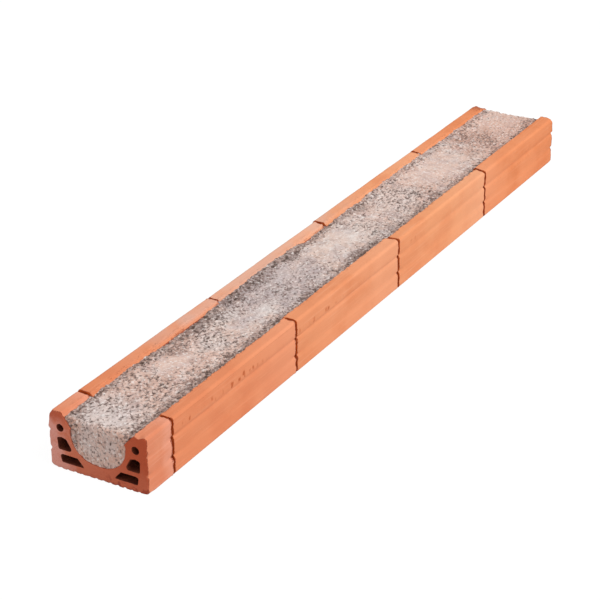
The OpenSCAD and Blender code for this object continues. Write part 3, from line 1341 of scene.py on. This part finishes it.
    def tuck_sides(self) -> None:
        """Widens the top, so that its rough sides run on into the wings."""
        widest = -self.low.y
        spread = (widest + self.tuck) / widest
        pick(self.piece, self.on_top)
        bpy.ops.mesh.select_mode(type="VERT")
        bpy.ops.transform.resize(value=(1.0, spread, 1.0), center_override=(0.0, 0.0, 0.0))
        bpy.ops.object.mode_set(mode="OBJECT")

    def roughen(self) -> None:
        """Presses the relief in: float marks, heaps, open grain, pits and crumbled ends."""
        self.tuck_sides()
        for name, share in (("top", self.top_share), ("heaps", self.heap), ("sinks", self.sink),
                            ("open_top", self.open_share), ("ends", self.end_share),
                            ("far_end", self.run_out)):
            zone(self.piece, name, share)
        for name, amount in (("rough", self.rough), ("soil", self.soil), ("dust", self.dust),
                             ("grey", lambda place: strongest(self.greyed, place)),
                             ("bloom", lambda place: strongest(self.bloomed, place))):
            paint(self.piece, name, amount)
        self.float_marks.press(self.piece)
        shove(self.piece, "heaps", Push.UP, self.heap_height)
        shove(self.piece, "sinks", Push.UP, -self.heap_height)
        shove(self.piece, "far_end", Push.ALONG, self.run_out_length)
        before = [(point.co.copy(), point.normal.copy()) for point in self.piece.data.vertices]
        for layer in self.reliefs:
            layer.press(self.piece)
        self.store_pits(before)

    def store_pits(self, before: list[tuple[Vector, Vector]]) -> None:
        """Stores how deep the grain has sunk each point, in millimetres, for the material to darken the pits
        with dirt and painted shade.

        Args:
            before: each point's place and normal as they were before the grain.
        """
        sunk = [(place - point.co).dot(out) / MM
                for point, (place, out) in zip(self.piece.data.vertices, before)]
        layer = self.piece.data.attributes.new("pit", "FLOAT", "POINT")
        layer.data.foreach_set("value", sunk)

    def top_share(self, place: Vector) -> float:
        """Gives 1 on the top and 0 at the bottom of its rim."""
        return smooth(place.z, self.level - self.rim, self.level - self.rim_full * self.rim)

    def open_share(self, place: Vector) -> float:
        """Gives how much of the open grain a place of the top has."""
        return self.top_share(place) * self.rough(place) * self.calm(place)

    def heap(self, place: Vector) -> float:
        """Gives how far the top is heaped up, or sunk where negative, as a share of heap_height."""
        return self.top_share(place) * sum(patch.at(place) for patch in self.heaped)

    def sink(self, place: Vector) -> float:
        """Gives how far the top is sunk, as a share of heap_height."""
        return -self.heap(place)

    def run_out(self, place: Vector) -> float:
        """Gives how far the far end runs on to the clay's end: most of the way on the right side."""
        across = self.run_out_least + (1.0 - self.run_out_least) * self.rightwards.at(place.y)
        return self.end_edge.at(self.high.x - place.x) * across

    def calm(self, place: Vector) -> float:
        """Gives how much of the open grain is left beside the wings, where the trowel's edge ran."""
        return 1.0 - self.calmed * self.beside_wing.at(abs(place.y))

    def end_share(self, place: Vector) -> float:
        """Gives 1 on the end faces and 0 in from them."""
        return self.end_edge.at(min(place.x - self.low.x, self.high.x - place.x))

    def rough(self, place: Vector) -> float:
        """Gives how open the surface is: rough at the ends and along the clay, closed where floated.

        Args:
            place: the place.

        Returns:
            The share, from open_least to 1.
        """
        nearer = self.nearwards.at(place.x)
        wavering = abs(place.y) + self.edge_waver * (lumpy(place, self.edge_grain, 3.0) - 0.5)
        edge = self.open_edge.at(wavering) * (self.edge_least + (1.0 - self.edge_least) * nearer)
        middle = self.openness + self.near_more * nearer
        middle -= self.closed_by_float * strongest(self.floated, place)
        middle += self.open_swing * (lumpy(place, self.open_cloud, 7.0) - 0.5)
        middle += sum(patch.at(place) for patch in self.opened)
        return min(1.0, max(self.open_least, middle, edge, self.end_open * self.end_share(place)))

    def dust(self, place: Vector) -> float:
        """Gives how much red dust lies on the surface: most on the sawn near end."""
        return max(self.end_dust * self.end_share(place), strongest(self.dusted, place))

    def soil(self, place: Vector) -> float:
        """Gives how grey and dirty the surface is.

        Args:
            place: the place.

        Returns:
            The share; it passes 1 where dirt lies thick.
        """
        cleaner = self.left_cleaner * self.left_clean.at(place.x) if place.y > 0 else 0.0
        edge = self.dirty_edge.at(abs(place.y)) * (self.dirty_most - cleaner)
        uneven = self.soil_least + self.soil_swing * lumpy(place, self.soil_cloud, 5.0)
        return min(self.soil_most, max(strongest(self.soiled, place), edge) * uneven)


# ------------------------------------------------------------------ floor, light and camera


@dataclass
class Studio:
    """A pale floor, soft light from above and in front, and the camera."""

    floor_size: float = 14.0
    floor_tone: str = "#D2D2D2"
    floor_glow: float = 1.1
    floor_white: float = 0.86
    standpoint: Vector = field(default_factory=lambda: Vector((-1.7378, -0.9682, 0.9745)))
    heading: float = math.radians(30.59)
    dip: float = math.radians(26.44)
    roll: float = math.radians(-0.75)
    lens_mm: float = 109.06
    sensor_mm: float = 36.0
    key_strength: float = 1.78
    key_from: Vector = field(default_factory=lambda: Vector((0.04, -0.68, 0.73)))
    key_spread: float = math.radians(40)
    sky_strength: float = 0.58

    def build(self) -> None:
        """Sets up the whole studio."""
        self.place_camera()
        self.lay_floor()
        self.light()
        bpy.context.scene.view_settings.view_transform = "Standard"

    def place_camera(self) -> None:
        """Sets the camera on its stand, turned to the lintel."""
        flat = math.cos(self.dip)
        ahead = Vector((flat * math.cos(self.heading), flat * math.sin(self.heading), -math.sin(self.dip)))
        turn = ahead.to_track_quat("-Z", "Y").to_matrix() @ Matrix.Rotation(self.roll, 3, "Z")
        lens = bpy.data.cameras.new("camera")
        lens.lens = self.lens_mm
        lens.sensor_width = self.sensor_mm
        camera = bpy.data.objects.new("camera", lens)
        camera.matrix_world = Matrix.Translation(self.standpoint) @ turn.to_4x4()
        bpy.context.scene.collection.objects.link(camera)
        bpy.context.scene.camera = camera

    def lay_floor(self) -> None:
        """Lays a white floor that keeps a faint shadow."""
        bpy.ops.mesh.primitive_plane_add(size=self.floor_size)
        floor = bpy.context.object
        floor.name = "floor"
        card = bpy.data.materials.new("white_card")
        card.use_nodes = True
        tree = card.node_tree
        tree.nodes.clear()
        seen = self.looked_at(tree)
        paper = add(tree, "BsdfDiffuse", {}, {"Color": linear(self.floor_tone)})
        glow = add(tree, "Emission", {}, {"Color": WHITE, "Strength": self.floor_glow})
        share = add(tree, "Math", TIMES, {0: seen, 1: self.floor_white})
        both = add(tree, "MixShader", {}, {0: share.outputs[0], 1: paper.outputs[0], 2: glow.outputs[0]})
        add(tree, "OutputMaterial", {}, {"Surface": both.outputs[0]})
        floor.data.materials.append(card)

    def looked_at(self, tree: bpy.types.NodeTree) -> bpy.types.NodeSocket:
        """Gives 1 for what the camera sees, straight, mirrored or through something clear."""
        rays = add(tree, "LightPath", {}, {}).outputs
        shared = add(tree, "Math", PLUS, {0: rays["Is Glossy Ray"], 1: rays["Is Transmission Ray"]})
        return add(tree, "Math", {"operation": "ADD", "use_clamp": True},
                   {0: rays["Is Camera Ray"], 1: shared.outputs[0]}).outputs[0]

    def light(self) -> None:
        """Hangs one wide soft lamp, in front and above, in a dim even sky that looks white."""
        lamp = bpy.data.lights.new("key", "SUN")
        lamp.energy = self.key_strength
        lamp.angle = self.key_spread
        key = bpy.data.objects.new("key", lamp)
        key.matrix_world = self.key_from.to_track_quat("Z", "Y").to_matrix().to_4x4()
        bpy.context.scene.collection.objects.link(key)
        sky = bpy.data.worlds.new("sky")
        sky.use_nodes = True
        tree = sky.node_tree
        tree.nodes.clear()
        strength = add(tree, "MapRange", {}, {
            "Value": self.looked_at(tree), "To Min": self.sky_strength, "To Max": 1.0,
        })
        air = add(tree, "Background", {}, {
            "Color": WHITE, "Strength": strength.outputs["Result"],
        })
        add(tree, "OutputWorld", {}, {"Surface": air.outputs["Background"]})
        bpy.context.scene.world = sky


# ------------------------------------------------------------------ the lintel


@dataclass
class Lintel:
    """The whole lintel: five shells and the fill."""

    shells: tuple[ClayShell, ...] = (
        ClayShell(
            1, "#E49370", "#DE8662", "#EDA58A",
            right_wing=Vector((0, -1.0 * MM, 0)),
            shoulder=-1.8 * MM,
            open_ends=(True, False),
            groove_wear=(700, 700),
            knocks=(
                Knock(Vector((-0.500, -0.050, 0.065)), Vector((0, 0, -2.6 * MM)), 8 * MM),
                Knock(Vector((-0.500, 0.051, 0.065)), Vector((0, 0, 0.7 * MM)), 12 * MM),
                Knock(Vector((-0.500, 0.060, 0.065)), Vector((0, -1.2 * MM, -1.5 * MM)), 6 * MM),
                Knock(Vector((-0.500, 0.060, 0.000)), Vector((0, 0, 1.5 * MM)), 13 * MM),
                Knock(Vector((-0.500, -0.060, 0.000)), Vector((0, 0, 1.2 * MM)), 13 * MM),
            ),
        ),
        ClayShell(
            2, "#E79166", "#DF855B", "#F0A17A",
            right_wing=Vector((0, -1.2 * MM, 0)),
            left_wing=Vector((0, -0.5 * MM, 0)),
            shoulder=-1.2 * MM,
            groove_wear=(46, 220),
            tears=Tears(-0.452, -0.250, 213.72),
        ),
        ClayShell(
            3, "#ED9C70", "#E48F62", "#F3AB83",
            right_wing=Vector((0, 1.2 * MM, 0)),
            left_wing=Vector((0, 1.0 * MM, -1.0 * MM)),
            shoulder=-1.8 * MM,
            groove_wear=(40, 200),
            tears=Tears(-0.205, -0.105, 106.86, 0.6),
        ),
        ClayShell(
            4, "#F0A273", "#E89466", "#F5B087",
            right_wing=Vector((0, -1.0 * MM, 0)),
            tears=Tears(0.050, 0.105, 769.94, 0.5),
        ),
        ClayShell(
            5, "#ED9565", "#E38857", "#F1A379",
            right_wing=Vector((0, 1.7 * MM, 0)),
            fade=(0.85, 0.1),
            groove_wear=(60, 260),
            open_ends=(False, True),
            knocks=(
                Knock(Vector((0.500, 0.054, 0.065)), Vector((0, 0, -2.5 * MM)), 12 * MM),
                Knock(Vector((0.500, 0.044, 0.064)), Vector((0, 0, -3.2 * MM)), 15 * MM),
                Knock(Vector((0.500, -0.060, 0.065)), Vector((-1.0 * MM, 0, -2.0 * MM)), 9 * MM),
            ),
        ),
    )
    fill: ConcreteFill = field(default_factory=ConcreteFill)

    def build(self) -> None:
        """Builds every piece and logs it."""
        broken = BrokenClay().mix()
        # The cells' dark clay is painted shade.
        cell_shade = ShadedClay("cell_shade_clay", "#663024", "#86452F").mix()
        joint = ShadedClay("joint_clay", "#C4561F", "#CE6A36").mix()
        trough = ShadedClay("cast_clay", "#9A4831", "#B5664C").mix()
        for shell in self.shells:
            skin = FiredSkin(f"fired_skin_{shell.number}", shell.tone, shell.flushed, shell.dusty)
            self.report(shell.build([skin.mix(), broken, cell_shade, joint, trough]))
        self.report(self.fill.build(FloatedConcrete().mix()))

    def report(self, piece: bpy.types.Object) -> None:
        """Logs a piece's name and size."""
        triangles = sum(len(face.vertices) - 2 for face in piece.data.polygons)
        LOG.info("%s: %d triangles, %s m", piece.name, triangles,
                 " x ".join(f"{side:.4f}" for side in piece.dimensions))


def main() -> None:
    """Builds the studio and the lintel."""
    logging.basicConfig(level=logging.INFO, format="%(name)s: %(message)s")
    Studio().build()
    Lintel().build()


if __name__ == "__main__":
    main()
